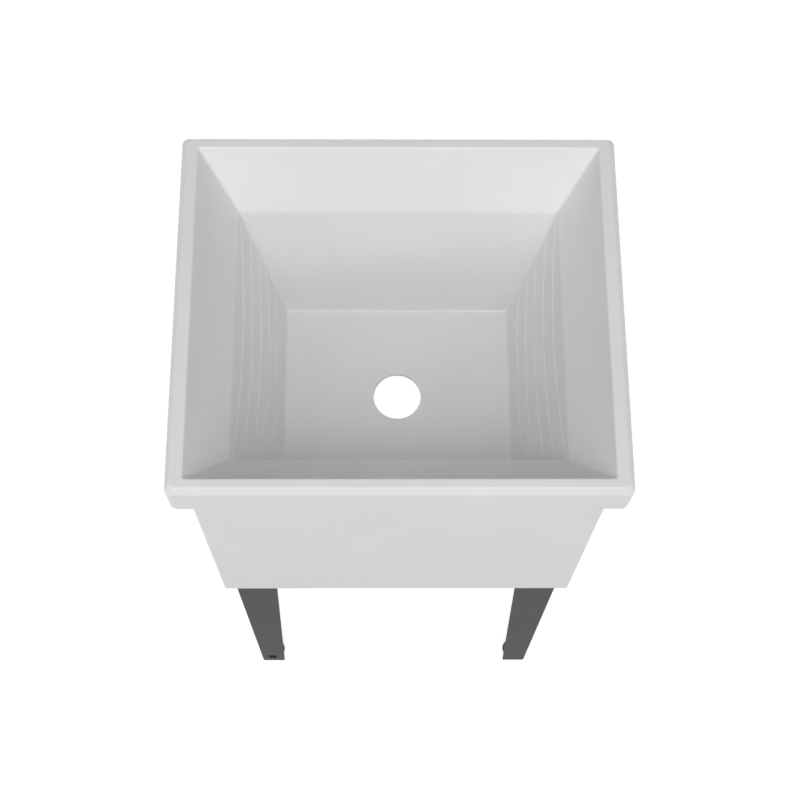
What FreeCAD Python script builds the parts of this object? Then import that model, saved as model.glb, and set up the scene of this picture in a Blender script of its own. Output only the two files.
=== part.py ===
import FreeCAD, Part
import Sketcher
import math
import os

# A free-standing laundry tub: one moulded tub with a skirt, on four tapered sheet steel legs.
# Each leg stands on a levelling foot that screws in and out.
# Millimetres, +Z up, origin on the floor under the middle of the rim, front towards -Y.

# Driving sizes
SIZES = {
    # rim and lip
    "rim_width": 425,
    "rim_depth": 367.5,
    "rim_height": 886,
    "lip_height": 52.5,
    "lip_overhang": 14.75,
    "lip_edge_radius": 8,
    "lip_foot_radius": 5,
    "wall": 4,
    # skirt
    "skirt_drop": 412,
    "skirt_corner_radius": 5,
    # basin
    "rim_ledge": 15,
    "flare_depth": 61,
    "flare_inset": 37.5,
    "break_radius": 20,
    "basin_depth": 235.5,
    "floor_width": 243.5,
    "floor_length": 204,
    "floor_radius": 5,
    "drain_diameter": 51,
    # washboard grooves in the side walls, lowest in the middle
    "groove_first_depth": 88,
    "groove_pitch": 29.5,
    "groove_radius": 2.5,
    "groove_depth": 1.5,
    "groove_bow": 380,
    "groove_end": 2,
    # legs
    "leg_inset": 10,
    "leg_seat_height": 180,
    "foot_clearance": 6,
    "sheet": 2,
    "bend_radius": 2,
    "flange_top": 56.5,
    "flange_foot": 30.7,
    "slot_width": 9.5,
    "slot_height": 18,
    "slot_rise": 16,
    # landings in the skirt and the screws that hold the legs
    "landing_width": 34,
    "landing_ledge": 6,
    "landing_hook": 1.5,
    "screw_setback": 28,
    "screw_low": 25,
    "screw_headroom": 35,
    "screw_diameter": 4.2,
    "screw_depth": 7.5,
    "screw_head_diameter": 8.5,
    "screw_head_height": 3,
    "screw_crown_diameter": 6,
    "screw_tip_length": 2,
    "screw_tip_diameter": 2,
    "washer_diameter": 11,
    "washer_thickness": 1,
    "screw_clearance": 0.1,
    "hole_clearance": 0.4,
    # levelling feet
    "foot_offset": 18,
    "tab_size": 28,
    "tab_corner": 8,
    "stud_diameter": 8,
    "stud_travel": 15,
    "stud_spare": 2,
    "stud_chamfer": 1,
    "collar_lift": 2,
    "running_clearance": 0.05,
    "tab_hole_clearance": 0.5,
    "nut_flats": 13,
    "nut_height": 6.5,
    "collar_height": 5,
    "collar_gap": 0.3,
    "neck_diameter": 6,
    "ball_diameter": 9,
    "ball_height": 6,
    "ball_clearance": 0.1,
    "pad_diameter": 24,
    "pad_base": 4,
    "pad_height": 9,
    "pad_top_diameter": 15,
    "pad_edge_radius": 1.5,
    "cut_overrun": 2,
}
GROOVE_COUNT = 5
SCREW_ROWS = 2
HEX_SIDES = 6
QUARTER_TURN = 90
# The legs in order, each a quarter turn from the last, with the signs of its place along X and Y
CORNERS = {
    "front_left": ("-", "-"),
    "front_right": ("", "-"),
    "rear_right": ("", ""),
    "rear_left": ("-", ""),
}
RIGHT = FreeCAD.Vector(1, 0, 0)
BACK = FreeCAD.Vector(0, 1, 0)
UP = FreeCAD.Vector(0, 0, 1)

# The sketcher's own numbers for a line's ends, an arc's centre, the sketch's axes and its origin point
START_INDEX, END_INDEX, CENTRE_INDEX = 1, 2, 3
H_AXIS_INDEX, V_AXIS_INDEX = -1, -2
ORIGIN_INDICES = (-1, 1)

# Sizes that follow from the driving ones, as formulas on the sheet
RIM_X = "(sizes.rim_width / 2)"
RIM_Y = "(sizes.rim_depth / 2)"
RIM_TOP = "sizes.rim_height"
LIP_BOTTOM = "(sizes.rim_height - sizes.lip_height)"
SKIRT_X = f"({RIM_X} - sizes.lip_overhang)"
SKIRT_Y = f"({RIM_Y} - sizes.lip_overhang)"
SKIRT_BOTTOM = "(sizes.rim_height - sizes.skirt_drop)"
MOUTH_X = f"({RIM_X} - sizes.rim_ledge)"
MOUTH_Y = f"({RIM_Y} - sizes.rim_ledge)"
BREAK_X = f"({MOUTH_X} - sizes.flare_inset)"
BREAK_Y = f"({MOUTH_Y} - sizes.flare_inset)"
BREAK_Z = "(sizes.rim_height - sizes.flare_depth)"
FLOOR_X = "(sizes.floor_width / 2)"
FLOOR_Y = "(sizes.floor_length / 2)"
FLOOR_Z = "(sizes.rim_height - sizes.basin_depth)"
WALL_DROP = "(sizes.basin_depth - sizes.flare_depth)"
FLARE_SLOPE = "(sizes.flare_inset / sizes.flare_depth)"
LEG_X = f"({SKIRT_X} - sizes.leg_inset)"
LEG_Y = f"({SKIRT_Y} - sizes.leg_inset)"
LEG_LENGTH = f"({SKIRT_BOTTOM} + sizes.leg_seat_height - sizes.foot_clearance)"
LANDING = "(sizes.leg_inset - sizes.wall)"
SCREW_Z = f"({SKIRT_BOTTOM} + sizes.screw_low)"
SCREW_STEP = f"((sizes.leg_seat_height - sizes.screw_low - sizes.screw_headroom) / {SCREW_ROWS - 1})"
COLLAR_BOTTOM = "(sizes.pad_height + sizes.collar_lift)"
TAB_Z = f"({COLLAR_BOTTOM} + sizes.collar_height + sizes.collar_gap)"
NUT_Z = f"({TAB_Z} + sizes.sheet)"
STUD_TOP = f"({NUT_Z} + sizes.nut_height + sizes.stud_travel + sizes.stud_spare)"
HEX_RADIUS = "(sizes.nut_flats / (2 * cos(30)))"

doc = FreeCAD.newDocument("laundry_tub")
sheet = doc.addObject("Spreadsheet::Sheet", "sizes")
for row, (alias, value) in enumerate(SIZES.items(), start=1):
    sheet.set(f"A{row}", alias)
    sheet.set(f"B{row}", str(value))
    sheet.setAlias(f"B{row}", alias)
doc.recompute()


def size(alias):
    """A plain number from the sheet, for choosing edges and placing sketch points."""
    return float(sheet.get(alias))


def bind(item, **formulas):
    """Tie properties of an object to formulas on the sheet."""
    for name, formula in formulas.items():
        item.setExpression(name, formula)
    return item


def place(item, x="0", y="0", z="0"):
    """Tie an object's position to formulas on the sheet."""
    for axis, formula in zip("xyz", (x, y, z)):
        item.setExpression(f"Placement.Base.{axis}", f"1 mm * {formula}")
    return item


def plane(body, role):
    """One of a body's own origin planes."""
    return next(item for item in body.Origin.OriginFeatures if item.Role == role)


def new_body(label):
    body = doc.addObject("PartDesign::Body", label)
    body.Label = label
    return body


def new_sketch(body, name, role="XY_Plane", **offsets):
    """An empty sketch on an origin plane, moved by formulas in the plane's own axes."""
    sketch = body.newObject("Sketcher::SketchObject", name)
    sketch.AttachmentSupport = (plane(body, role), [""])
    sketch.MapMode = "FlatFace"
    for axis, formula in offsets.items():
        sketch.setExpression(f"AttachmentOffset.Base.{axis}", f"1 mm * {formula}")
    return sketch


def dimension(sketch, kind, *where, formula):
    """A sketch dimension that follows a formula."""
    index = sketch.addConstraint(Sketcher.Constraint(kind, *where))
    sketch.setExpression(f"Constraints[{index}]", f"1 mm * {formula}")


def number(formula):
    """The present value of a formula."""
    return float(FreeCAD.Units.Quantity(str(sheet.evalExpression(str(formula)))).Value)


def locate(sketch, item, point, x, y):
    """Hold a point of a sketch at a pair of formulas, or on an axis where a formula is zero."""
    for kind, formula, axis in (("DistanceX", x, V_AXIS_INDEX), ("DistanceY", y, H_AXIS_INDEX)):
        if number(formula) == 0:
            sketch.addConstraint(Sketcher.Constraint("PointOnObject", item, point, axis))
        else:
            dimension(sketch, kind, *ORIGIN_INDICES, item, point, number(formula), formula=formula)


def polygon(sketch, points):
    """A closed outline whose corners are pairs of formulas in the sketch's axes."""
    corners = [FreeCAD.Vector(number(x), number(y), 0) for x, y in points]
    count = len(points)
    for i in range(count):
        sketch.addGeometry(Part.LineSegment(corners[i], corners[(i + 1) % count]), False)
    for i in range(count):
        sketch.addConstraint(Sketcher.Constraint("Coincident", i, END_INDEX, (i + 1) % count, START_INDEX))
    for i, (x, y) in enumerate(points):
        locate(sketch, i, START_INDEX, x, y)
    return sketch


def rectangle(sketch, half_x, half_y):
    """A rectangle about the sketch's origin."""
    return polygon(sketch, [(f"-{half_x}", f"-{half_y}"), (half_x, f"-{half_y}"),
                            (half_x, half_y), (f"-{half_x}", half_y)])


def circle(sketch, x, y, radius):
    """A circle placed by formulas."""
    index = sketch.GeometryCount
    centre = FreeCAD.Vector(number(x), number(y), 0)
    sketch.addGeometry(Part.Circle(centre, UP, number(radius)), False)
    locate(sketch, index, CENTRE_INDEX, x, y)
    dimension(sketch, "Radius", index, number(radius), formula=radius)
    return sketch


def extrude(body, kind, name, sketch, length, reverse=False, middle=False):
    """A Pad or a Pocket of a sketch."""
    feature = body.newObject(f"PartDesign::{kind}", name)
    feature.Profile = sketch
    feature.Reversed = reverse
    feature.Midplane = middle
    bind(feature, Length=f"1 mm * {length}")
    doc.recompute()
    return feature


def loft(body, kind, name, sections):
    """A straight-sided loft through sketches."""
    feature = body.newObject(f"PartDesign::{kind}", name)
    feature.Profile = sections[0]
    feature.Sections = sections[1:]
    feature.Ruled = True
    doc.recompute()
    return feature


def fillet(body, name, radius, wanted):
    """Round the edges of the body's last feature whose middle point passes a test."""
    base = body.Tip
    names = []
    for i, edge in enumerate(base.Shape.Edges, start=1):
        middle = edge.valueAt((edge.FirstParameter + edge.LastParameter) / 2)
        if wanted(edge, middle):
            names.append(f"Edge{i}")
    feature = body.newObject("PartDesign::Fillet", name)
    feature.Base = (base, names)
    bind(feature, Radius=f"1 mm * {radius}")
    doc.recompute()
    return feature


def near(a, b):
    return abs(a - b) < size("running_clearance")


def upright(edge):
    box = edge.BoundBox
    return near(box.XLength, 0) and near(box.YLength, 0)


def level(edge):
    return near(edge.BoundBox.ZLength, 0)


def make_tub():
    """The one-piece moulding: rim, lip, skirt, basin, washboard grooves, drain hole and leg landings."""
    body = new_body("tub")
    add_lip_and_skirt(body)
    add_basin(body)
    add_grooves(body)
    add_landings(body)
    return body


def add_lip_and_skirt(body):
    """The outer walls, rounded outside and hollow from below, with one wall thickness throughout."""
    lip = rectangle(new_sketch(body, "lip_outline", z=LIP_BOTTOM), RIM_X, RIM_Y)
    extrude(body, "Pad", "lip_block", lip, "sizes.lip_height")
    top, foot = number(RIM_TOP), number(LIP_BOTTOM)
    fillet(body, "lip_corners", "sizes.lip_edge_radius", lambda edge, middle: upright(edge))
    fillet(body, "lip_top_edge", "sizes.lip_edge_radius",
           lambda edge, middle: level(edge) and near(middle.z, top))
    fillet(body, "lip_foot_edge", "sizes.lip_foot_radius",
           lambda edge, middle: level(edge) and near(middle.z, foot))
    skirt = rectangle(new_sketch(body, "skirt_outline", z=SKIRT_BOTTOM), SKIRT_X, SKIRT_Y)
    extrude(body, "Pad", "skirt_block", skirt, "(sizes.skirt_drop - sizes.lip_height + sizes.wall)")
    side = number(SKIRT_X)
    fillet(body, "skirt_corners", "sizes.skirt_corner_radius",
           lambda edge, middle: upright(edge) and near(abs(middle.x), side) and middle.z < foot)
    inside = rectangle(new_sketch(body, "skirt_inside", z=SKIRT_BOTTOM),
                       f"({SKIRT_X} - sizes.wall)", f"({SKIRT_Y} - sizes.wall)")
    extrude(body, "Pocket", "skirt_hollow", inside, "(sizes.skirt_drop - sizes.wall)", reverse=True)
    under = rectangle(new_sketch(body, "lip_inside", z=f"({LIP_BOTTOM} + sizes.wall)"),
                      f"({RIM_X} - sizes.wall)", f"({RIM_Y} - sizes.wall)")
    extrude(body, "Pocket", "lip_hollow", under, "(sizes.lip_height - 2 * sizes.wall)", reverse=True)


def add_basin(body):
    """The basin: a wide flare to a break line, then steeper walls to a flat floor with a drain hole."""
    outside = [
        rectangle(new_sketch(body, "floor_outside", z=f"({FLOOR_Z} - sizes.wall)"),
                  f"({FLOOR_X} + sizes.wall)", f"({FLOOR_Y} + sizes.wall)"),
        rectangle(new_sketch(body, "break_outside", z=BREAK_Z),
                  f"({BREAK_X} + sizes.wall)", f"({BREAK_Y} + sizes.wall)"),
        rectangle(new_sketch(body, "mouth_outside", z=f"({RIM_TOP} - sizes.wall)"),
                  f"({MOUTH_X} + sizes.wall)", f"({MOUTH_Y} + sizes.wall)")]
    loft(body, "AdditiveLoft", "basin_outside", outside)
    spread = f"sizes.cut_overrun * {FLARE_SLOPE}"
    inside = [
        rectangle(new_sketch(body, "floor_inside", z=FLOOR_Z), FLOOR_X, FLOOR_Y),
        rectangle(new_sketch(body, "break_inside", z=BREAK_Z), BREAK_X, BREAK_Y),
        rectangle(new_sketch(body, "mouth_inside", z=f"({RIM_TOP} + sizes.cut_overrun)"),
                  f"({MOUTH_X} + {spread})", f"({MOUTH_Y} + {spread})")]
    loft(body, "SubtractiveLoft", "basin_inside", inside)
    floor, under = number(FLOOR_Z), number(FLOOR_Z) - size("wall")
    fillet(body, "floor_inner_radius", "sizes.floor_radius",
           lambda edge, middle: level(edge) and near(middle.z, floor))
    fillet(body, "floor_outer_radius", "(sizes.floor_radius + sizes.wall)",
           lambda edge, middle: level(edge) and near(middle.z, under))
    side, front, height = number(BREAK_X), number(BREAK_Y), number(BREAK_Z)
    fillet(body, "break_edge", "sizes.break_radius",
           lambda edge, middle: level(edge) and near(middle.z, height)
           and (near(abs(middle.x), side) or near(abs(middle.y), front)))
    drain = circle(new_sketch(body, "drain_outline", z=f"({FLOOR_Z} + sizes.cut_overrun)"),
                   "0", "0", "(sizes.drain_diameter / 2)")
    extrude(body, "Pocket", "drain_hole", drain, "(sizes.wall + 2 * sizes.cut_overrun)")


def obround(sketch, x, low, radius, height):
    """An upright slot with round ends, placed by its middle and its lowest point."""
    first = sketch.GeometryCount
    middle, bottom, half = number(x), number(f"({low} + {radius})"), number(radius)
    top = number(f"({low} + {height} - {radius})")
    for z, start in ((top, 0), (bottom, math.pi)):
        turn = Part.Circle(FreeCAD.Vector(middle, z, 0), UP, half)
        sketch.addGeometry(Part.ArcOfCircle(turn, start, start + math.pi), False)
    for side, ends in ((-half, (top, bottom)), (half, (bottom, top))):
        points = [FreeCAD.Vector(middle + side, z, 0) for z in ends]
        sketch.addGeometry(Part.LineSegment(*points), False)
    upper, lower, left, right = range(first, first + 4)
    for one, other in ((upper, left), (left, lower), (lower, right), (right, upper)):
        sketch.addConstraint(Sketcher.Constraint("Tangent", one, END_INDEX, other, START_INDEX))
    sketch.addConstraint(Sketcher.Constraint("Vertical", left))
    dimension(sketch, "Radius", upper, half, formula=radius)
    locate(sketch, lower, CENTRE_INDEX, x, f"({low} + {radius})")
    dimension(sketch, "DistanceY", lower, CENTRE_INDEX, upper, CENTRE_INDEX, top - bottom,
              formula=f"({height} - 2 * {radius})")


def add_grooves(body):
    """Washboard grooves across the left wall, each an arc that dips in the middle, and their mirror."""
    grooves = []
    lean = f"atan(({BREAK_X} - {FLOOR_X}) / {WALL_DROP})"
    proud = "(sizes.groove_radius - sizes.groove_depth)"
    for i in range(GROOVE_COUNT):
        depth = f"(sizes.groove_first_depth + {i} * sizes.groove_pitch)"
        down = f"(({depth} - sizes.flare_depth) / {WALL_DROP})"
        wall_x = f"({BREAK_X} - ({BREAK_X} - {FLOOR_X}) * {down})"
        wall_y = f"({BREAK_Y} - ({BREAK_Y} - {FLOOR_Y}) * {down})"
        sketch = new_sketch(body, f"groove_outline_{i}", "XZ_Plane",
                            x=f"(-{wall_x} + {proud} * cos({lean}))",
                            y=f"({RIM_TOP} - {depth} + {proud} * sin({lean}))")
        sketch.setExpression("AttachmentOffset.Rotation.Angle", lean)
        circle(sketch, "0", "0", "sizes.groove_radius")
        bow_axis = add_axis(sketch, "sizes.groove_bow", "sizes.groove_radius")
        groove = body.newObject("PartDesign::Groove", f"groove_{i}")
        groove.Profile = sketch
        groove.ReferenceAxis = (sketch, [bow_axis])
        groove.Midplane = True
        bind(groove, Angle=f"2 * asin(({wall_y} - sizes.groove_end) / sizes.groove_bow)")
        doc.recompute()
        grooves.append(groove)
    mirror(body, "grooves_right", grooves, ["YZ_Plane"])


def add_axis(sketch, height, length):
    """A construction line along the sketch's X direction. Returns the name of the axis it gives."""
    line = sketch.GeometryCount
    start = FreeCAD.Vector(0, number(height), 0)
    sketch.addGeometry(Part.LineSegment(start, start + RIGHT * number(length)), True)
    locate(sketch, line, START_INDEX, "0", height)
    locate(sketch, line, END_INDEX, length, height)
    return "Axis0"


def mirror(body, name, originals, roles):
    """Repeat features across one or more of the body's origin planes."""
    many = body.newObject("PartDesign::MultiTransform", name)
    many.Originals = originals
    steps = []
    for role in roles:
        step = body.newObject("PartDesign::Mirrored", f"{name}_{role}")
        step.MirrorPlane = (plane(body, role), [""])
        steps.append(step)
    many.Transformations = steps
    body.Tip = many
    doc.recompute()
    return many


def add_landings(body):
    """Landings in the skirt that the legs bear on, a hooked ledge over each leg and blind pilot holes."""
    features = []
    low = SKIRT_BOTTOM
    high = f"({SKIRT_BOTTOM} + sizes.leg_seat_height)"
    start = "(sizes.screw_setback - sizes.landing_width / 2)"
    end = "(sizes.screw_setback + sizes.landing_width / 2)"
    hook = "(sizes.sheet + sizes.landing_hook)"
    pilot = "(sizes.screw_diameter / 2 + sizes.screw_clearance)"
    bury = "(sizes.wall / 2)"
    for wall, along, face in (("front", LEG_X, LEG_Y), ("side", LEG_Y, LEG_X)):
        near_edge, far_edge = f"(-{along} + {start})", f"(-{along} + {end})"
        buried = f"(-{face} - {LANDING} - {bury})"
        for name, bottom, height, reach in (("landing", low, "sizes.leg_seat_height", f"(-{face})"),
                                            ("ledge", high, "sizes.landing_ledge", f"(-{face} + {hook})")):
            corners = [(near_edge, buried), (far_edge, buried), (far_edge, reach), (near_edge, reach)]
            if wall == "side":
                corners = [(y, x) for x, y in corners]
            sketch = polygon(new_sketch(body, f"{wall}_{name}_outline", z=bottom), corners)
            features.append(extrude(body, "Pad", f"{wall}_{name}", sketch, height))
        role = "XZ_Plane" if wall == "front" else "YZ_Plane"
        bearing = face if wall == "front" else f"-{face}"
        sketch = new_sketch(body, f"{wall}_pilot_outline", role, z=bearing)
        for i in range(SCREW_ROWS):
            circle(sketch, f"(-{along} + sizes.screw_setback)", screw_height(i), pilot)
        features.append(extrude(body, "Pocket", f"{wall}_pilots", sketch,
                                "(sizes.screw_depth + sizes.screw_clearance)", reverse=(wall == "front")))
    mirror(body, "landings_all_round", features, ["YZ_Plane", "XZ_Plane"])


def corner_placement(item, index):
    """Put a piece that is drawn at a leg's own corner where that leg stands."""
    sign_x, sign_y = list(CORNERS.values())[index]
    turn = FreeCAD.Rotation(UP, QUARTER_TURN * index)
    item.Placement = FreeCAD.Placement(FreeCAD.Vector(), turn)
    return place(item, f"{sign_x}{LEG_X}", f"{sign_y}{LEG_Y}")


def make_leg(label, index):
    """A bent angle with two tapering flanges, a slot in one, screw holes and a foot tab for the nut."""
    body = new_body(label)
    width, gauge = "sizes.flange_top", "sizes.sheet"
    outline = [("0", "0"), (width, "0"), (width, gauge), (gauge, gauge), (gauge, width), ("0", width)]
    angle = polygon(new_sketch(body, f"{label}_angle", z="sizes.foot_clearance"), outline)
    extrude(body, "Pad", f"{label}_sheet", angle, LEG_LENGTH)
    inner = size("sheet")
    fillet(body, f"{label}_bend_inside", "sizes.bend_radius",
           lambda edge, middle: upright(edge) and near(middle.x, inner) and near(middle.y, inner))
    fillet(body, f"{label}_bend_outside", "(sizes.bend_radius + sizes.sheet)",
           lambda edge, middle: upright(edge) and near(middle.x, 0) and near(middle.y, 0))
    for flange in ("front", "side"):
        cut_flange(body, label, flange)
    add_foot_tab(body, label)
    return corner_placement(body, index)


def cut_flange(body, label, flange):
    """Taper a flange towards the foot and pierce its screw holes, and the slot in the front one."""
    role = "XZ_Plane" if flange == "front" else "YZ_Plane"
    lift = "sizes.cut_overrun" if flange == "front" else "-sizes.cut_overrun"
    through = "(sizes.sheet + 2 * sizes.cut_overrun)"
    top = f"(sizes.foot_clearance + {LEG_LENGTH})"
    beyond = "(sizes.flange_top + sizes.cut_overrun)"
    below = "(sizes.foot_clearance - sizes.cut_overrun)"
    edge = [("sizes.flange_foot", "sizes.foot_clearance"), ("sizes.flange_foot", below), (beyond, below),
            (beyond, top), ("sizes.flange_top", top)]
    taper = polygon(new_sketch(body, f"{label}_{flange}_taper", role, z=lift), edge)
    extrude(body, "Pocket", f"{label}_{flange}_edge", taper, through, reverse=(flange == "side"))
    holes = new_sketch(body, f"{label}_{flange}_piercing", role, z=lift)
    pierced = "(sizes.screw_diameter / 2 + sizes.hole_clearance)"
    for i in range(SCREW_ROWS):
        circle(holes, "sizes.screw_setback", screw_height(i), pierced)
    if flange == "front":
        obround(holes, "(sizes.flange_foot / 2)", "(sizes.foot_clearance + sizes.slot_rise)",
                "(sizes.slot_width / 2)", "sizes.slot_height")
    extrude(body, "Pocket", f"{label}_{flange}_holes", holes, through, reverse=(flange == "side"))


def add_foot_tab(body, label):
    """A level tab across the inside of the bend, with a hole for the levelling stud."""
    root, reach = "(sizes.sheet / 2)", "sizes.tab_size"
    cropped = "(sizes.tab_size - sizes.tab_corner)"
    outline = [(root, root), (reach, root), (reach, cropped), (cropped, reach), (root, reach)]
    tab = polygon(new_sketch(body, f"{label}_tab_outline", z=TAB_Z), outline)
    extrude(body, "Pad", f"{label}_tab", tab, "sizes.sheet")
    below = new_sketch(body, f"{label}_tab_hole_outline", z=f"({TAB_Z} - sizes.cut_overrun)")
    pierced = "(sizes.stud_diameter / 2 + sizes.tab_hole_clearance)"
    hole = circle(below, "sizes.foot_offset", "sizes.foot_offset", pierced)
    through = "(sizes.sheet + 2 * sizes.cut_overrun)"
    extrude(body, "Pocket", f"{label}_tab_hole", hole, through, reverse=True)


def screw_height(row):
    return f"({SCREW_Z} + {row} * {SCREW_STEP})"


def solid(kind, name, z="0", **formulas):
    """A Part primitive on the Z axis, its sizes tied to formulas."""
    item = doc.addObject(f"Part::{kind}", name)
    bind(item, **{key: f"1 mm * {formula}" for key, formula in formulas.items()})
    return place(item, z=z)


def hexagon(name, height, z):
    """A six-sided prism on the Z axis, as wide across its flats as the nut."""
    item = solid("Prism", name, z=z, Circumradius=HEX_RADIUS, Height=height)
    item.Polygon = HEX_SIDES
    return item


def fuse(name, items):
    joined = doc.addObject("Part::MultiFuse", name)
    joined.Shapes = items
    return joined


def cut(name, base, tool):
    remainder = doc.addObject("Part::Cut", name)
    remainder.Base = base
    remainder.Tool = tool
    return remainder


def labelled(item, label, index):
    item.Label = label
    return corner_placement(item, index)


def per_screw(label, index, make):
    """One group of separate solids, made once for each screw of a leg and set square to its flange."""
    items = []
    seat = "sizes.sheet"
    for flange in ("front", "side"):
        for i in range(SCREW_ROWS):
            item = make(f"{label}_{flange}_{i}")
            if flange == "front":
                item.Placement = FreeCAD.Placement(FreeCAD.Vector(), FreeCAD.Rotation(RIGHT, -QUARTER_TURN))
                place(item, "sizes.screw_setback", seat, screw_height(i))
            else:
                item.Placement = FreeCAD.Placement(FreeCAD.Vector(), FreeCAD.Rotation(BACK, QUARTER_TURN))
                place(item, seat, "sizes.screw_setback", screw_height(i))
            items.append(item)
    group = doc.addObject("Part::Compound", label)
    group.Links = items
    return labelled(group, label, index)


def make_screw(name):
    """A tapping screw, its head on the washer and its point in the landing's blind hole."""
    radius = "(sizes.screw_diameter / 2)"
    point = "(-sizes.sheet - sizes.screw_depth)"
    straight = "(sizes.washer_thickness + sizes.sheet + sizes.screw_depth - sizes.screw_tip_length)"
    shank = solid("Cylinder", f"{name}_shank", z=f"({point} + sizes.screw_tip_length)", Radius=radius,
                  Height=straight)
    tip = solid("Cone", f"{name}_tip", z=point, Radius1="(sizes.screw_tip_diameter / 2)", Radius2=radius,
                Height="sizes.screw_tip_length")
    head = solid("Cone", f"{name}_head", z="sizes.washer_thickness",
                 Radius1="(sizes.screw_head_diameter / 2)", Radius2="(sizes.screw_crown_diameter / 2)",
                 Height="sizes.screw_head_height")
    return fuse(name, [tip, shank, head])


def make_washer(name):
    """A flat washer on the inside of the flange."""
    disc = solid("Cylinder", f"{name}_disc", Radius="(sizes.washer_diameter / 2)",
                 Height="sizes.washer_thickness")
    hole = solid("Cylinder", f"{name}_hole", z="-sizes.cut_overrun",
                 Radius="(sizes.screw_diameter / 2 + sizes.screw_clearance)",
                 Height="(sizes.washer_thickness + 2 * sizes.cut_overrun)")
    return cut(name, disc, hole)


def on_foot_axis(item):
    """Move a finished piece from the Z axis to the levelling stud's axis."""
    return place(item, "sizes.foot_offset", "sizes.foot_offset")


def foot_piece(label, index, item):
    """A piece on the levelling stud's axis, set at its leg."""
    group = doc.addObject("Part::Compound", label)
    group.Links = [on_foot_axis(item)]
    return labelled(group, label, index)


def make_nut(label, index):
    """The hexagon nut that is welded on the foot tab."""
    body = hexagon(f"{label}_hexagon", "sizes.nut_height", NUT_Z)
    bore = solid("Cylinder", f"{label}_bore", z=f"({NUT_Z} - sizes.cut_overrun)",
                 Radius="(sizes.stud_diameter / 2 + sizes.running_clearance)",
                 Height="(sizes.nut_height + 2 * sizes.cut_overrun)")
    return foot_piece(label, index, cut(f"{label}_ring", body, bore))


def make_stud(label, index):
    """The levelling stud: a ball end, a neck, a hexagon collar to turn it by, and a shank in the nut."""
    radius = "(sizes.stud_diameter / 2)"
    collar_top = f"({COLLAR_BOTTOM} + sizes.collar_height)"
    ball = solid("Sphere", f"{label}_ball", z="sizes.ball_height", Radius="(sizes.ball_diameter / 2)")
    neck = solid("Cylinder", f"{label}_neck", z="sizes.ball_height", Radius="(sizes.neck_diameter / 2)",
                 Height=f"({COLLAR_BOTTOM} - sizes.ball_height)")
    collar = hexagon(f"{label}_collar", "sizes.collar_height", COLLAR_BOTTOM)
    shank = solid("Cylinder", f"{label}_shank", z=collar_top, Radius=radius,
                  Height=f"({STUD_TOP} - sizes.stud_chamfer - {collar_top})")
    end = solid("Cone", f"{label}_end", z=f"({STUD_TOP} - sizes.stud_chamfer)", Radius1=radius,
                Radius2=f"({radius} - sizes.stud_chamfer)", Height="sizes.stud_chamfer")
    return foot_piece(label, index, fuse(f"{label}_whole", [ball, neck, collar, shank, end]))


def make_pad(label, index):
    """The foot pad: a turned disc that rises to a socket round the stud's ball."""
    body = new_body(f"{label}_turning")
    rim = "(sizes.pad_diameter / 2)"
    crown = "(sizes.pad_top_diameter / 2)"
    outline = [("0", "0"), (rim, "0"), (rim, "sizes.pad_base"), (crown, "sizes.pad_height"),
               ("0", "sizes.pad_height")]
    profile = polygon(new_sketch(body, f"{label}_profile", "XZ_Plane"), outline)
    turned = body.newObject("PartDesign::Revolution", f"{label}_disc")
    turned.Profile = profile
    turned.ReferenceAxis = (profile, ["V_Axis"])
    doc.recompute()
    shoulder = size("pad_base")
    fillet(body, f"{label}_edge", "sizes.pad_edge_radius",
           lambda edge, middle: level(edge) and near(middle.z, shoulder))
    socket = solid("Sphere", f"{label}_socket", z="sizes.ball_height",
                   Radius="(sizes.ball_diameter / 2 + sizes.ball_clearance)")
    return foot_piece(label, index, cut(f"{label}_whole", body, socket))


def make_all():
    """Every sub-part, in the order that the tub is put together."""
    pieces = [make_tub()]
    for index, corner in enumerate(CORNERS):
        pieces.append(make_leg(f"leg_{corner}", index))
        pieces.append(per_screw(f"leg_screws_{corner}", index, make_screw))
        pieces.append(per_screw(f"leg_washers_{corner}", index, make_washer))
        pieces.append(make_nut(f"weld_nut_{corner}", index))
        pieces.append(make_stud(f"levelling_stud_{corner}", index))
        pieces.append(make_pad(f"foot_pad_{corner}", index))
    doc.recompute()
    return pieces


def write(pieces):
    """Check the whole document, then write one STEP file for each sub-part."""
    for item in doc.Objects:
        if "Invalid" in item.State or "Error" in item.State:
            raise RuntimeError(f"{item.Name} failed: {item.State}")
    for piece in pieces:
        if piece.Shape.isNull() or not piece.Shape.isValid():
            raise RuntimeError(f"{piece.Label} has no valid shape")
    os.makedirs("parts", exist_ok=True)
    for piece in pieces:
        piece.Shape.exportStep(f"parts/{piece.Label}.step")
        print(piece.Label, len(piece.Shape.Solids), round(piece.Shape.Volume))


write(make_all())
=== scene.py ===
import math
from collections import namedtuple

import bmesh
import bpy
from mathutils import Matrix, Vector


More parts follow.
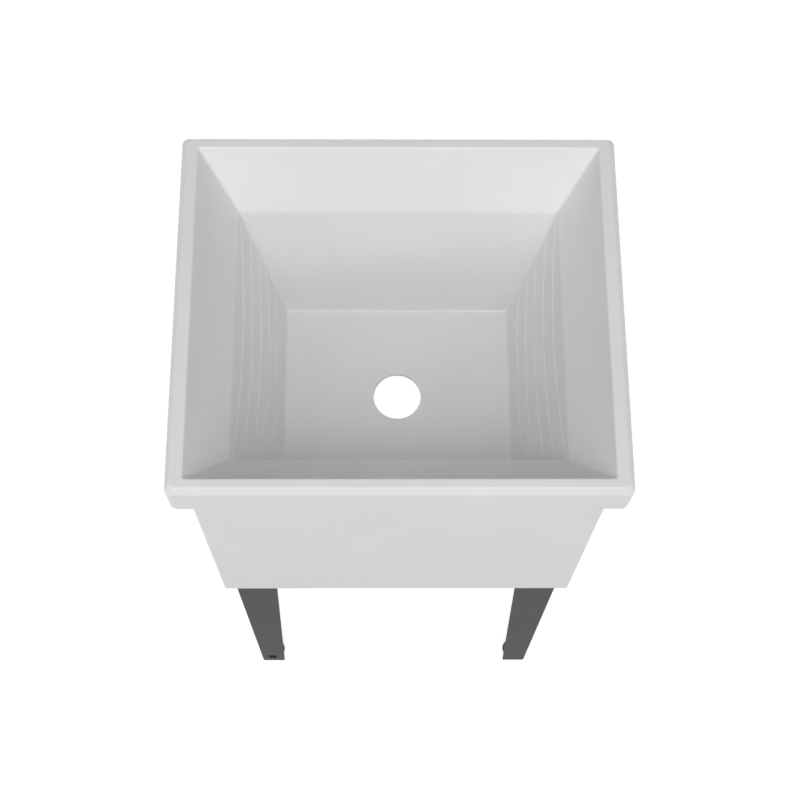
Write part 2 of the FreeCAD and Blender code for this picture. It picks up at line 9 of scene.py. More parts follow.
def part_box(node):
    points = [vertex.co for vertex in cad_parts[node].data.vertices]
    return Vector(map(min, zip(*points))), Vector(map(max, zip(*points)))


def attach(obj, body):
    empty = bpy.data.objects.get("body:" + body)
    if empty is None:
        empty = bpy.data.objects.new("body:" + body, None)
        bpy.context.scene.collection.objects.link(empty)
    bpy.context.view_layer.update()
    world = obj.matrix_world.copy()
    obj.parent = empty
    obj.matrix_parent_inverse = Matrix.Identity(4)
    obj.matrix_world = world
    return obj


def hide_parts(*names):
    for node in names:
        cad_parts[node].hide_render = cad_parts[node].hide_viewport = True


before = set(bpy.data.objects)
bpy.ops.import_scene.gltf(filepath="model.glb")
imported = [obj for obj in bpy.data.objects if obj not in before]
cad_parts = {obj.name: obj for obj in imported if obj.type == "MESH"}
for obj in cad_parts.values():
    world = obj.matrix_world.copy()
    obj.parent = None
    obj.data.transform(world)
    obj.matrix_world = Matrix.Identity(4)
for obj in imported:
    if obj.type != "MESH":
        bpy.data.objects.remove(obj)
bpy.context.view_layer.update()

# A white moulded laundry tub on four tapered sheet steel legs with levelling feet.
# Metres, +Z up, the front towards -Y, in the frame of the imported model.

CORNERS = ("front_left", "front_right", "rear_right", "rear_left")
QUARTER_TURN = math.pi / 2
FULL_TURN = 2 * math.pi
MERGE = 1e-6
TINY = 1e-5
SHARP_ANGLE = math.radians(40)
CREASE_ANGLE = math.radians(50)
BROKEN_EDGE_STEPS = 2

# Tub sizes: the rim and the skirt's foot come from the frame
tub_low, tub_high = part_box("tub")
RIM_X, RIM_Y, RIM_TOP = tub_high
SKIRT_BOTTOM = tub_low.z
WALL = 0.004
LIP_HEIGHT = 0.0525
LIP_OVERHANG = 0.01475
LIP_BEVEL_INSET = 0.005
LIP_BEVEL_HEIGHT = 0.0075
LIP_BEVEL_RADIUS = 0.0012
LIP_EDGE_RADIUS = 0.002
LIP_FOOT_RADIUS = 0.005
LIP_ROOT_RADIUS = 0.001
LIP_CORNER = 0.0065
LIP_INNER_RADIUS = 0.003
SKIRT_CORNER = 0.003
SKIRT_EDGE = 0.0008
RIM_SIDE_LEDGE = 0.0164
RIM_FRONT_LEDGE = 0.0138
MOUTH_RADIUS = 0.0025
FLARE_DEPTH = 0.061
FLARE_FOOT_INSET = 0.0525
BREAK_RADIUS = 0.020
BASIN_DEPTH = 0.2355
FLOOR_X = 0.12175
FLOOR_Y = 0.102
FLOOR_RADIUS = 0.0035
BASIN_CORNER = 0.003
BASIN_BACK_CORNER = 0.007
DRAIN_RADIUS = 0.0255
DRAIN_EDGE = 0.0008
DRAIN_EDGE_STEPS = 3
DRAIN_STEPS = 72
CORNER_STEPS = 6
EDGE_STEPS = 6

# Washboard grooves in the side walls, lowest in the middle, given there by their depth under the rim
GROOVE_COUNT = 5
GROOVE_FIRST_DEPTH = 0.088
GROOVE_PITCH = 0.0295
GROOVE_DEPTH = 0.0015
GROOVE_HALF_WIDTH = 0.003
GROOVE_BOW = 0.380
GROOVE_STEPS = 4
GROOVE_FADE = 0.01
SIDE_PANELS = 25

LIP_BOTTOM = RIM_TOP - LIP_HEIGHT
SKIRT_X = RIM_X - LIP_OVERHANG
SKIRT_Y = RIM_Y - LIP_OVERHANG
MOUTH_X = RIM_X - RIM_SIDE_LEDGE
MOUTH_Y = RIM_Y - RIM_FRONT_LEDGE
BREAK_X = RIM_X - FLARE_FOOT_INSET
BREAK_Y = RIM_Y - FLARE_FOOT_INSET
BREAK_Z = RIM_TOP - FLARE_DEPTH
FLOOR_Z = RIM_TOP - BASIN_DEPTH
WALL_LEAN = math.atan((BREAK_X - FLOOR_X) / (BREAK_Z - FLOOR_Z))

# Leg sizes: a leg's own corner, foot and top come from the frame
leg_low, leg_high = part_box("leg_front_left")
LEG_X = -leg_low.x
LEG_Y = -leg_low.y
LEG_FOOT = leg_low.z
LEG_TOP = leg_high.z
FLANGE_TOP = leg_high.x - leg_low.x
FLANGE_FOOT = 0.0307
SHEET = 0.002
SHEET_EDGE = 0.0003
BEND_RADIUS = 0.0024
BEND_STEPS = 6
SLOT_WIDTH = 0.0098
SLOT_HEIGHT = 0.018
SLOT_CORNER = 0.001
SLOT_RISE = 0.016
SCREW_SETBACK = 0.028
SCREW_HEIGHTS = (0.499, 0.619)
SCREW_HOLE = 0.0025
HOLE_STEPS = 24
TAB_SIZE = 0.028
TAB_CORNER = 0.008
TAB_HOLE = 0.0045

# Landings inside the skirt that the legs bear on
LANDING_WIDTH = 0.034
LANDING_LEDGE = 0.006
LANDING_HOOK = 0.0015
LANDING_EDGE = 0.0008
LANDING_ROOT = 0.001

# Leg screws and washers
SCREW_RADIUS = 0.0021
SCREW_DEPTH = 0.0075
SCREW_TIP_RADIUS = 0.001
SCREW_TIP_LENGTH = 0.002
SCREW_HEAD_RADIUS = 0.00425
SCREW_HEAD_HEIGHT = 0.003
SCREW_CROWN_RADIUS = 0.003
SCREW_DOME_STEPS = 5
RECESS_ARMS = 4
RECESS_ARM = 0.0021
RECESS_HALF_WIDTH = 0.0005
RECESS_DEPTH = 0.0015
RECESS_TAPER = 0.7
WASHER_RADIUS = 0.0055
WASHER_HOLE = 0.0022
WASHER_THICKNESS = 0.001
WASHER_EDGE = 0.0002
TURNED_STEPS = 32

# Levelling feet: the stud's axis and the heights come from the frame
pad_low, pad_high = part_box("foot_pad_front_left")
nut_low, nut_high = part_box("weld_nut_front_left")
stud_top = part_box("levelling_stud_front_left")[1].z
FOOT_OFFSET = (pad_low.x + pad_high.x) / 2 + LEG_X
PAD_RADIUS = (pad_high.x - pad_low.x) / 2
PAD_HEIGHT = pad_high.z
PAD_BASE = 0.004
PAD_TOP_RADIUS = 0.0075
PAD_EDGE = 0.0015
PAD_FOOT_EDGE = 0.0005
PAD_FOOT_STEPS = 3
PAD_STEPS = 48
PAD_GROOVES = (0.0045, 0.0075, 0.0102)
PAD_GROOVE = 0.0004
BALL_RADIUS = 0.0045
BALL_HEIGHT = 0.006
BALL_STEPS = 10
SOCKET_RADIUS = 0.0046
NECK_RADIUS = 0.003
HEX_SIDES = 6
HEX_FLATS = 0.013
HEX_TURN = math.radians(30)
HEX_EDGE = 0.0006
COLLAR_BOTTOM = 0.011
COLLAR_TOP = 0.016
STUD_RADIUS = 0.004
STUD_BORE = 0.00405
THREAD_PITCH = 0.00125
THREAD_DEPTH = 0.00068
THREAD_STEPS = 24
THREAD_SPARE_TURNS = 2

# Materials: how fine the noise in their colour and gloss is, and where its two tones begin
NOISE_DETAIL = 3.0
DARK_TONE_AT = 0.3
LIGHT_TONE_AT = 0.7

# Floor and light
FLOOR_SIZE = 12.0
FLOOR_COLOUR = (0.5, 0.5, 0.5, 1)
FLOOR_GLOW = 0.78
WHITE = (1, 1, 1, 1)
AMBIENT = 0.08
BOX_TARGET = (0.0, 0.0, 0.75)
BOX_DISTANCE = 3.5
# Soft boxes round the tub: degrees from the front, degrees above level, width, height and watts.
# The fills stand lower than the rim and light only the skirt, the lip and the legs.
SOFT_BOXES = {
    "front_box": (0, 45, 2.4, 3.4, 84.0),
    "left_box": (-70, 45, 2.4, 2.4, 22.0),
    "right_box": (70, 45, 2.4, 2.4, 20.0),
    "rear_box": (180, 50, 2.4, 2.4, 9.0),
    "left_fill": (-95, -5, 2.4, 0.8, 20.0),
    "right_fill": (95, -5, 2.4, 0.8, 18.0),
    "rear_fill": (180, -5, 2.4, 0.8, 28.0),
}

# Camera: where it stands, which way it looks and how long its lens is
SENSOR_MM = 36
LENS_MM = 68.13
CAMERA_PLACE = (-0.01527, -0.5903, 2.18067)
CAMERA_TILT = math.radians(20.96)
CAMERA_TURN = math.radians(-0.639)

Station = namedtuple("Station", "x y z corner dip pressed", defaults=(0.0, 0.0))


# Mesh helpers

def unique(items):
    """Each item once, in the order they come."""
    return list(dict.fromkeys(items))


def verts_of(geom):
    return [g for g in geom if isinstance(g, bmesh.types.BMVert)]


def made_since(bm, known):
    """The vertices that weren't there before."""
    return [v for v in bm.verts if v not in known]


def faces_with(verts):
    """The faces that use any of the vertices."""
    return unique(f for v in verts for f in v.link_faces)


def edges_of(faces):
    return unique(e for f in faces for e in f.edges)


def ring_edges(verts):
    """The edges of a loop that join its own vertices."""
    members = set(verts)
    return unique(e for v in verts for e in v.link_edges if e.other_vert(v) in members)


def sharp_edges(edges, least=CREASE_ANGLE):
    """The edges where two faces meet at more than the given angle."""
    return [e for e in edges if len(e.link_faces) == 2 and e.calc_face_angle() > least]


def round_edges(bm, edges, width, steps=BROKEN_EDGE_STEPS):
    bmesh.ops.bevel(bm, geom=edges, offset=width, offset_type="OFFSET", affect="EDGES", segments=steps,
                    profile=0.5, material=-1)


def turn_outwards(bm, faces=None):
    bmesh.ops.recalc_face_normals(bm, faces=faces or bm.faces[:])


def weld(bm):
    """Merge doubled vertices and turn every face outwards."""
    bmesh.ops.remove_doubles(bm, verts=bm.verts[:], dist=MERGE)
    turn_outwards(bm)


def outline(bm, points):
    """A closed loop of edges through a few points."""
    verts = [bm.verts.new(point) for point in points]
    return [bm.edges.new((verts[i - 1], verts[i])) for i in range(len(verts))]


def ring_hole(bm, radius, place, steps=HOLE_STEPS):
    """A round loop for a hole."""
    return ring_edges(bmesh.ops.create_circle(bm, segments=steps, radius=radius, matrix=place)["verts"])


def rounded_loop(bm, half_x, half_y, corner):
    """A rounded rectangle about the origin, as a loop with no face. Returns its vertices."""
    known = set(bm.verts)
    size = Matrix.Diagonal((half_x, half_y, 1, 1))
    verts = bmesh.ops.create_grid(bm, x_segments=1, y_segments=1, size=1, matrix=size)["verts"]
    bmesh.ops.bevel(bm, geom=verts, offset=corner, offset_type="OFFSET", affect="VERTICES",
                    segments=CORNER_STEPS, profile=0.5, material=-1)
    loop = made_since(bm, known)
    bmesh.ops.delete(bm, geom=faces_with(loop), context="FACES_ONLY")
    return loop


def fill(bm, edges):
    """Flat faces inside a loop of edges, with open holes where it holds other loops."""
    made = bmesh.ops.triangle_fill(bm, use_beauty=True, use_dissolve=False, edges=edges)["geom"]
    return [g for g in made if isinstance(g, bmesh.types.BMFace)]


def extrude_loop(bm, edges):
    """Walls from a loop of edges. Returns the new loop's vertices, still in the old one's place."""
    return verts_of(bmesh.ops.extrude_edge_only(bm, edges=edges)["geom"])


def thicken(bm, faces, height):
    """Make flat faces into a plate or prism."""
    made = bmesh.ops.extrude_face_region(bm, geom=faces)["geom"]
    bmesh.ops.translate(bm, verts=verts_of(made), vec=(0, 0, height))


def half_section(bm, points):
    """A line of edges through the radii and heights of a turned shape."""
    verts = [bm.verts.new((radius, 0, height)) for radius, height in points]
    return verts + [bm.edges.new(pair) for pair in zip(verts, verts[1:])]


def turn_profile(bm, points, steps=TURNED_STEPS):
    """Spin a half section about the Z axis."""
    bmesh.ops.spin(bm, geom=half_section(bm, points), cent=(0, 0, 0), axis=(0, 0, 1), angle=FULL_TURN,
                   steps=steps, use_merge=True)


def arc(centre, radius, start, end, steps):
    """Points of an arc in a section, angles in degrees."""
    angles = [math.radians(start + (end - start) * i / steps) for i in range(steps + 1)]
    return [(centre[0] + radius * math.cos(a), centre[1] + radius * math.sin(a)) for a in angles]


def rounded_corner(before, point, after, radius, steps):
    """The arc that rounds one corner of a section."""
    back = (before - point).normalized()
    ahead = (after - point).normalized()
    turn = back.angle(ahead)
    reach = radius / math.tan(turn / 2)
    centre = point + (back + ahead).normalized() * (radius / math.sin(turn / 2))
    first = point + back * reach - centre
    last = point + ahead * reach - centre
    return [centre + first.slerp(last, i / steps) * radius for i in range(steps + 1)]


def add_copy(bm, source, place):
    """Add one mesh to another at a place."""
    known = set(bm.verts)
    block = bpy.data.meshes.new("copied_block")
    source.to_mesh(block)
    bm.from_mesh(block)
    bpy.data.meshes.remove(block)
    bmesh.ops.transform(bm, matrix=place, verts=made_since(bm, known))


def leg_place(index):
    """Where a leg's own corner stands, each leg a quarter turn from the last."""
    corner = CORNERS[index]
    side = 1 if corner.endswith("right") else -1
    back = 1 if corner.startswith("rear") else -1
    stand = Matrix.Translation((side * LEG_X, back * LEG_Y, 0))
    return stand @ Matrix.Rotation(QUARTER_TURN * index, 4, "Z")


def stand_at(bm, index):
    """Carry a mesh drawn at a leg's own corner to where that leg stands."""
    bmesh.ops.transform(bm, matrix=leg_place(index), verts=bm.verts[:])


def stand_on_foot(bm, index):
    """Carry a mesh drawn on the Z axis to a leg's levelling foot."""
    bmesh.ops.translate(bm, verts=bm.verts[:], vec=(FOOT_OFFSET, FOOT_OFFSET, 0))
    stand_at(bm, index)


def add_piece(bm, name, body, slot, material, *nodes):
    """Close a mesh into a smooth-shaded piece that rides on a body in place of its solids."""
    mesh = bpy.data.meshes.new(name)
    bm.to_mesh(mesh)
    bm.free()
    mesh.materials.append(material)
    mesh.shade_smooth()
    mesh.set_sharp_from_angle(angle=SHARP_ANGLE)
    piece = bpy.data.objects.new(name, mesh)
    bpy.context.scene.collection.objects.link(piece)
    shading = piece.modifiers.new("even_shading", "WEIGHTED_NORMAL")
    shading.keep_sharp = True
    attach(piece, body)
    if nodes:
        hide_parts(*nodes)


# The tub: a rounded rectangle carried along the section of its wall

def stations(section):
    """Stations along a section of the wall, with the section's own corners rounded.

    Each point of the section gives its half width, half depth and height, the radius that rounds it
    and the radius of the tub's upright corners there. A radius of zero leaves the point as it is.
    """
    found = []
    for i, (x, y, z, radius, corner) in enumerate(section):
        if radius == 0:
            found.append(Station(x, y, z, corner))
            continue
        before_x, before_y, before_z = section[i - 1][:3]
        after_x, after_y, after_z = section[i + 1][:3]
        side = rounded_corner(Vector((before_x, before_z)), Vector((x, z)), Vector((after_x, after_z)),
                              radius, EDGE_STEPS)
        front = rounded_corner(Vector((before_y, before_z)), Vector((y, z)), Vector((after_y, after_z)),
                               radius, EDGE_STEPS)
        found += [Station(s.x, f.x, (s.y + f.y) / 2, corner) for s, f in zip(side, front)]
    return found


def wall_at(z):
    """Where the lower basin walls stand at a height, before the grooves."""
    share = (z - FLOOR_Z) / (BREAK_Z - FLOOR_Z)
    return FLOOR_X + (BREAK_X - FLOOR_X) * share, FLOOR_Y + (BREAK_Y - FLOOR_Y) * share


def climb(y):
    """How far a groove has climbed up the wall from its middle, at a distance to the front or rear."""
    return GROOVE_BOW - math.sqrt(GROOVE_BOW ** 2 - y ** 2)


def groove_stations():
    """Stations over the washboard grooves, given where the grooves meet the front and rear walls."""
    found = []
    for i in range(GROOVE_COUNT):
        middle = RIM_TOP - GROOVE_FIRST_DEPTH - i * GROOVE_PITCH
        dip = climb(wall_at(middle)[1] - BASIN_CORNER)
        for step in range(GROOVE_STEPS, -GROOVE_STEPS - 1, -1):
            share = step / GROOVE_STEPS
            z = middle + (dip + share * GROOVE_HALF_WIDTH) * math.cos(WALL_LEAN)
            pressed = GROOVE_DEPTH * math.cos(share * QUARTER_TURN) ** 2
            found.append(Station(*wall_at(z), z, BASIN_CORNER, dip, pressed))
    return found


def tighten_corner(station):
    """Draw the corner in over the rim, from the lip's radius to the basin's."""
    share = (RIM_X - station.x) / RIM_SIDE_LEDGE
    if station.z > RIM_TOP - LIP_BEVEL_HEIGHT and share < 1:
        return station._replace(corner=LIP_CORNER + (BASIN_CORNER - LIP_CORNER) * share)
    return station


def first_ring(bm, station):
    """A rounded rectangle whose left and right sides are cut into short panels."""
    known = set(bm.verts)
    loop = rounded_loop(bm, station.x, station.y, station.corner)
    bmesh.ops.translate(bm, verts=loop, vec=(0, 0, station.z))
    half = station.y - station.corner
    shares = [odd / SIDE_PANELS for odd in range(1, SIDE_PANELS, 2)] + [1 - GROOVE_FADE]
    for share in shares:
        for back in (-1, 1):
            ring = made_since(bm, known)
            bmesh.ops.bisect_plane(bm, geom=ring + ring_edges(ring), dist=MERGE, plane_no=(0, 1, 0),
                                   plane_co=(0, back * half * share, 0))
    return made_since(bm, known)


def reshape(bm, verts, old, new):
    """Move a ring from one station to the next: its corners stay round and its sides keep their panels."""
    grow = new.corner / old.corner
    old_half = old.y - old.corner
    new_half = new.y - new.corner
    for side in (-1, 1):
        ring_side = [v for v in verts if v.co.x * side > 0]
        straight = [v for v in ring_side if abs(v.co.y) < old_half - TINY]
        for back in (-1, 1):
            turn = [v for v in ring_side if v.co.y * back > old_half - TINY]
            to_middle = (-side * (old.x - old.corner), -back * old_half, 0)
            to_place = (side * (new.x - new.corner), back * new_half, new.z - old.z)
            bmesh.ops.translate(bm, verts=turn, vec=to_middle)
            bmesh.ops.scale(bm, verts=turn, vec=(grow, grow, 1))
            bmesh.ops.translate(bm, verts=turn, vec=to_place)
        bmesh.ops.scale(bm, verts=straight, vec=(1, new_half / old_half, 1))
        bmesh.ops.translate(bm, verts=straight, vec=(side * (new.x - old.x), 0, new.z - old.z))


def press_grooves(bm, swept):
    """Bow the rows of the side walls down in the middle and press the grooves into them."""
    for verts, station in swept:
        half = station.y - station.corner
        for v in verts:
            from_end = half - abs(v.co.y)
            if station.dip > 0 and from_end > TINY:
                side = math.copysign(1, v.co.x)
                fall = max(0.0, station.dip - climb(v.co.y))
                pressed = station.pressed * min(1.0, from_end / (half * GROOVE_FADE))
                down = Vector((-side * math.sin(WALL_LEAN), 0, -math.cos(WALL_LEAN)))
                outward = Vector((side * math.cos(WALL_LEAN), 0, -math.sin(WALL_LEAN)))
                bmesh.ops.translate(bm, verts=[v], vec=down * fall + outward * pressed)


def sweep(bm, path):
    """Carry a ring along the stations. Returns its first and last loops of edges."""
    ring = first_ring(bm, path[0])
    first = ring_edges(ring)
    swept = [(ring, path[0])]
    for old, new in zip(path, path[1:]):
        ring = extrude_loop(bm, ring_edges(ring))
        reshape(bm, ring, old, new)
        swept.append((ring, new))
    last = ring_edges(ring)
    press_grooves(bm, swept)
    return first, last


def basin_path():
    """Stations from the skirt's foot up and over the rim to the middle of the basin floor."""
    path = stations([
        (SKIRT_X, SKIRT_Y, SKIRT_BOTTOM, 0, SKIRT_CORNER),
        (SKIRT_X, SKIRT_Y, LIP_BOTTOM, LIP_ROOT_RADIUS, SKIRT_CORNER),
        (RIM_X, RIM_Y, LIP_BOTTOM, LIP_FOOT_RADIUS, LIP_CORNER),
        (RIM_X, RIM_Y, RIM_TOP - LIP_BEVEL_HEIGHT, LIP_BEVEL_RADIUS, LIP_CORNER),
        (RIM_X - LIP_BEVEL_INSET, RIM_Y - LIP_BEVEL_INSET, RIM_TOP, LIP_EDGE_RADIUS, LIP_CORNER),
        (MOUTH_X, MOUTH_Y, RIM_TOP, MOUTH_RADIUS, BASIN_CORNER),
        (BREAK_X, BREAK_Y, BREAK_Z, BREAK_RADIUS, BASIN_CORNER),
        (FLOOR_X, FLOOR_Y, FLOOR_Z, FLOOR_RADIUS, BASIN_CORNER),
        (FLOOR_X / 2, FLOOR_Y / 2, FLOOR_Z, 0, BASIN_CORNER),
    ])
    # The grooves come before the rounded corner at the floor and the one station after it
    floor_corner_stations = EDGE_STEPS + 1
    wall_end = len(path) - floor_corner_stations - 1
    path[wall_end:wall_end] = groove_stations()
    return [tighten_corner(station) for station in path]


def underside_path():
    """Stations from under the basin floor up inside the lip and down the skirt's inside."""
    inner_x = SKIRT_X - WALL
    inner_y = SKIRT_Y - WALL
    return stations([
        (FLOOR_X / 2, FLOOR_Y / 2, FLOOR_Z - WALL, 0, BASIN_BACK_CORNER),
        (FLOOR_X + WALL, FLOOR_Y + WALL, FLOOR_Z - WALL, FLOOR_RADIUS + WALL, BASIN_BACK_CORNER),
        (BREAK_X + WALL, BREAK_Y + WALL, BREAK_Z, BREAK_RADIUS - WALL, BASIN_BACK_CORNER),
        (MOUTH_X + WALL, MOUTH_Y + WALL, RIM_TOP - WALL, LIP_ROOT_RADIUS, BASIN_BACK_CORNER),
        (RIM_X - WALL, RIM_Y - WALL, RIM_TOP - WALL, LIP_INNER_RADIUS, LIP_CORNER - WALL),
        (RIM_X - WALL, RIM_Y - WALL, LIP_BOTTOM + WALL, LIP_ROOT_RADIUS, LIP_CORNER - WALL),
        (inner_x, inner_y, LIP_BOTTOM + WALL, LIP_ROOT_RADIUS, BASIN_CORNER),
        (inner_x, inner_y, SKIRT_BOTTOM, 0, BASIN_CORNER),
    ])


def make_tub(plastic):
    """Skirt, lip, rim, basin and drain hole as one closed moulding."""
    bm = bmesh.new()
    skirt_foot, basin_floor = sweep(bm, basin_path())
    basin_underside, skirt_inside = sweep(bm, underside_path())
    foot = bmesh.ops.bridge_loops(bm, edges=skirt_foot + skirt_inside)["faces"]
    drain_edge = ring_hole(bm, DRAIN_RADIUS, Matrix.Translation((0, 0, FLOOR_Z)), DRAIN_STEPS)
    fill(bm, basin_floor + drain_edge)
    drain_foot = extrude_loop(bm, drain_edge)
    bmesh.ops.translate(bm, verts=drain_foot, vec=(0, 0, -WALL))
    fill(bm, basin_underside + ring_edges(drain_foot))
    weld(bm)
    foot_edges = edges_of(f for f in foot if f.is_valid)
    round_edges(bm, sharp_edges(foot_edges, SHARP_ANGLE), SKIRT_EDGE)
    in_drain = DRAIN_RADIUS + TINY
    drain_edges = [e for e in sharp_edges(bm.edges) if all(v.co.xy.length < in_drain for v in e.verts)]
    round_edges(bm, drain_edges, DRAIN_EDGE, DRAIN_EDGE_STEPS)
    add_piece(bm, "tub_moulding", "frame", "white_tub", plastic, "tub")


def make_landings(plastic):
    """Blocks on the skirt's inside that the legs bear on, with a hooked ledge over each leg's top edge."""
    corner = bmesh.new()
    depth = SKIRT_Y - WALL - LEG_Y + LANDING_ROOT
    bearing = (SKIRT_BOTTOM, LEG_TOP, 0.0)
    ledge = (LEG_TOP, LEG_TOP + LANDING_LEDGE, SHEET + LANDING_HOOK)
    for along in ("X", "Y"):
        for bottom, top, reach in (bearing, ledge):
            size = Vector((LANDING_WIDTH, depth + reach, top - bottom))
            middle = Vector((SCREW_SETBACK, (reach - depth) / 2, (top + bottom) / 2))
            if along == "Y":
                size.xy = size.yx
                middle.xy = middle.yx
            place = Matrix.Translation(middle) @ Matrix.Diagonal((*size, 1))
            bmesh.ops.create_cube(corner, size=1, matrix=place)
    round_edges(corner, corner.edges[:], LANDING_EDGE)
    bm = bmesh.new()
    for index in range(len(CORNERS)):
        add_copy(bm, corner, leg_place(index))
    corner.free()
    turn_outwards(bm)
    add_piece(bm, "leg_landings", "frame", "white_tub", plastic)


# The legs: one bent sheet each, with a tab across the bend for the levelling stud

def screw_hole(bm, place):
    return ring_hole(bm, SCREW_HOLE, place)


def foot_slot(bm, place):
    """The upright slot punched near a leg's foot."""
    loop = rounded_loop(bm, SLOT_WIDTH / 2, SLOT_HEIGHT / 2, SLOT_CORNER)
    bmesh.ops.transform(bm, matrix=place, verts=loop)
    return ring_edges(loop)


def flange_face(bm, turn, holes):
    """One tapering flange as a flat face with its holes, turned about the leg's corner."""
    points = [(BEND_RADIUS, LEG_FOOT), (FLANGE_FOOT, LEG_FOOT), (FLANGE_TOP, LEG_TOP), (BEND_RADIUS, LEG_TOP)]
    swing = Matrix.Rotation(turn, 4, "Z")
    upright = Matrix.Rotation(QUARTER_TURN, 4, "X")
    edges = outline(bm, [swing @ Vector((reach, 0, z)) for reach, z in points])
    for reach, z, make_loop in holes:
        edges += make_loop(bm, swing @ Matrix.Translation((reach, 0, z)) @ upright)
    fill(bm, edges)


def add_foot_tab(bm):
    """The level tab that the nut is welded on, with its corner cropped and a hole for the stud."""
    known = set(bm.verts)
    root = SHEET / 2
    cropped = TAB_SIZE - TAB_CORNER
    bottom = nut_low.z - SHEET
    points = [(root, root), (TAB_SIZE, root), (TAB_SIZE, cropped), (cropped, TAB_SIZE), (root, TAB_SIZE)]
    edges = outline(bm, [(x, y, bottom) for x, y in points])
    edges += ring_hole(bm, TAB_HOLE, Matrix.Translation((FOOT_OFFSET, FOOT_OFFSET, bottom)))
    thicken(bm, fill(bm, edges), SHEET)
    tab = faces_with(made_since(bm, known))
    turn_outwards(bm, tab)
    round_edges(bm, sharp_edges(edges_of(tab), SHARP_ANGLE), SHEET_EDGE)


def make_leg(index, paint):
    """Two tapering flanges joined by a bend, with screw holes, a slot near the foot and the foot tab."""
    corner = CORNERS[index]
    bm = bmesh.new()
    screws = [(SCREW_SETBACK, z, screw_hole) for z in SCREW_HEIGHTS]
    slot = (FLANGE_FOOT / 2, LEG_FOOT + SLOT_RISE + SLOT_HEIGHT / 2, foot_slot)
    flange_face(bm, 0, screws + [slot])
    flange_face(bm, QUARTER_TURN, screws)
    fold = [v for v in bm.verts if abs(v.co.y) < TINY and abs(v.co.x - BEND_RADIUS) < TINY]
    bmesh.ops.spin(bm, geom=fold + ring_edges(fold), cent=(BEND_RADIUS, BEND_RADIUS, 0), axis=(0, 0, 1),
                   angle=-QUARTER_TURN, steps=BEND_STEPS)
    weld(bm)
    # These faces are the sheet's outer side, and its thickness goes behind them
    front = next(f for f in bm.faces if abs(f.calc_center_median().y) < TINY)
    if front.normal.y > 0:
        bmesh.ops.reverse_faces(bm, faces=bm.faces[:])
    bmesh.ops.solidify(bm, geom=bm.faces[:], thickness=SHEET)
    turn_outwards(bm)
    round_edges(bm, sharp_edges(bm.edges), SHEET_EDGE)
    add_foot_tab(bm)
    stand_at(bm, index)
    add_piece(bm, f"painted_leg_{corner}", "frame", "grey_paint", paint, f"leg_{corner}")


# Leg screws and washers

def screw_mesh():
    """A pan-head tapping screw on the Z axis with a cross recess, its washer's face at zero."""
    bm = bmesh.new()
    point = -SHEET - SCREW_DEPTH
    top = WASHER_THICKNESS + SCREW_HEAD_HEIGHT
    shoulder = SCREW_HEAD_RADIUS - SCREW_CROWN_RADIUS
    shank = [(0, point), (SCREW_TIP_RADIUS, point), (SCREW_RADIUS, point + SCREW_TIP_LENGTH),
             (SCREW_RADIUS, WASHER_THICKNESS)]
    dome = [(SCREW_CROWN_RADIUS + x * shoulder, WASHER_THICKNESS + z * SCREW_HEAD_HEIGHT)
            for x, z in arc((0, 0), 1, 0, 90, SCREW_DOME_STEPS)]
    turn_profile(bm, shank + dome)
    bmesh.ops.remove_doubles(bm, verts=bm.verts[:], dist=MERGE)
    crown = [v for v in bm.verts if abs(v.co.z - top) < TINY]
    quarter = [(RECESS_ARM, -RECESS_HALF_WIDTH), (RECESS_ARM, RECESS_HALF_WIDTH),
               (RECESS_HALF_WIDTH, RECESS_HALF_WIDTH)]
    cross = []
    for turn in range(RECESS_ARMS):
        spun = Matrix.Rotation(QUARTER_TURN * turn, 2)
        cross += [spun @ Vector(corner) for corner in quarter]
    recess = outline(bm, [(x, y, top) for x, y in cross])
    fill(bm, ring_edges(crown) + recess)
    recess_floor = extrude_loop(bm, recess)
    bmesh.ops.scale(bm, verts=recess_floor, vec=(RECESS_TAPER, RECESS_TAPER, 1))
    bmesh.ops.translate(bm, verts=recess_floor, vec=(0, 0, -RECESS_DEPTH))
    fill(bm, ring_edges(recess_floor))
    weld(bm)
    return bm


def washer_mesh():
    """A flat washer on the Z axis with broken edges."""
    bm = bmesh.new()
    turn_profile(bm, [(WASHER_HOLE, 0), (WASHER_RADIUS, 0), (WASHER_RADIUS, WASHER_THICKNESS),
                      (WASHER_HOLE, WASHER_THICKNESS), (WASHER_HOLE, 0)])
    weld(bm)
    round_edges(bm, sharp_edges(bm.edges), WASHER_EDGE)
    return bm


def make_per_screw(make, name, node, index, metal):
    """One piece with a copy of a mesh at each of a leg's four screws, set square to its flange."""
    corner = CORNERS[index]
    source = make()
    bm = bmesh.new()
    to_front = Matrix.Rotation(-QUARTER_TURN, 4, "X")
    to_side = Matrix.Rotation(QUARTER_TURN, 4, "Y")
    for z in SCREW_HEIGHTS:
        add_copy(bm, source, Matrix.Translation((SCREW_SETBACK, SHEET, z)) @ to_front)
        add_copy(bm, source, Matrix.Translation((SHEET, SCREW_SETBACK, z)) @ to_side)
    source.free()
    stand_at(bm, index)
    add_piece(bm, f"{name}_{corner}", "frame", "zinc", metal, f"{node}_{corner}")


# Levelling feet

